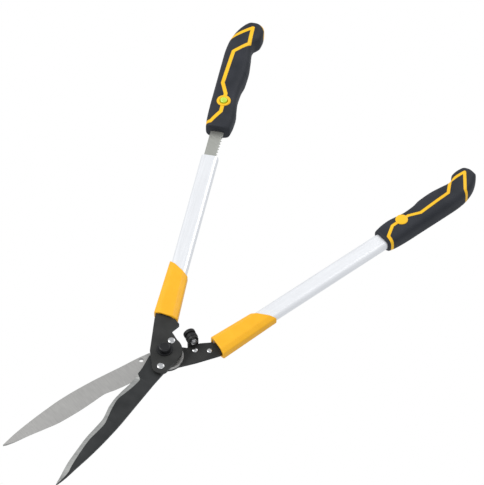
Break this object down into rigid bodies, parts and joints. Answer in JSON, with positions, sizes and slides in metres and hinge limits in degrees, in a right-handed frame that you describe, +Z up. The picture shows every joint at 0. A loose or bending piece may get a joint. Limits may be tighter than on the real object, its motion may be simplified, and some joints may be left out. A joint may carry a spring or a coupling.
{
  "type": "hedge shears",
  "caption": "Hedge shears with wavy blades, oblong tube handles, rubber stop and a pruning saw that draws out of one handle",
  "frame": {"origin": "on the pivot axis, at the flat end of the pivot bolt's head", "axes": "+X across the shears, +Y from the pivot towards the grips, with the blades along -Y, +Z up from the shear plane, out of the face that shows the cap nut"},
  "size_m": [0.3735, 0.7234, 0.0351],
  "materials": {
    "dark_paint": "satin",
    "lever_paint": "satin",
    "blade_steel": "ground",
    "saw_steel": "satin",
    "zinc": "bright",
    "black_steel": "satin",
    "tube_metal": "bright",
    "sleeve_yellow": "satin",
    "grip_yellow": "satin",
    "grip_rubber": "matte",
    "buffer_rubber": "matte",
    "filler": "matte",
    "button_green": "gloss",
    "bronze": "satin"
  },
  "bodies": {
    "right_arm": {"right_lever": "lever_paint", "plain_blade": "blade_steel", "plain_rivets": "zinc", "right_tube": "tube_metal", "right_plug": "filler", "right_sleeve": "sleeve_yellow", "right_sleeve_screws": "zinc", "right_grip_core": "grip_yellow", "right_grip_skin": "grip_rubber", "bumper_bracket": "lever_paint", "bracket_rivets": "zinc", "bumper_rubber": "buffer_rubber", "bumper_screw": "zinc", "bumper_nut": "zinc", "pivot_bolt": "black_steel", "pivot_cap_nut": "black_steel", "pivot_front_washer": "black_steel", "pivot_back_washer": "zinc"},
    "left_arm": {"left_lever": "lever_paint", "dark_blade": "dark_paint", "left_rivets": "zinc", "left_tube": "tube_metal", "left_plug": "filler", "left_sleeve": "sleeve_yellow", "left_sleeve_screws": "zinc", "saw_guide": "filler", "pivot_bushing": "bronze"},
    "saw": {"saw_blade": "saw_steel", "saw_grip_core": "grip_yellow", "saw_grip_skin": "grip_rubber", "saw_pins": "zinc", "button_collar": "grip_yellow"},
    "button": {"release_button": "button_green"}
  },
  "joints": [
    {"name": "shears_pivot", "type": "hinge", "parent": "right_arm", "child": "left_arm", "pos_m": [0, 0, 0.01305], "axis": [0, 0, 1], "range_deg": [-22, 18]},
    {"name": "saw_slide", "type": "slide", "parent": "left_arm", "child": "saw", "axis": [-0.3338, 0.9426, 0], "range_m": [-0.043, 0.2]},
    {"name": "button_press", "type": "slide", "parent": "saw", "child": "button", "axis": [0, 0, -1], "range_m": [0, 0.002], "stiffness_N_per_m": 600, "springref_m": -0.001}
  ]
}
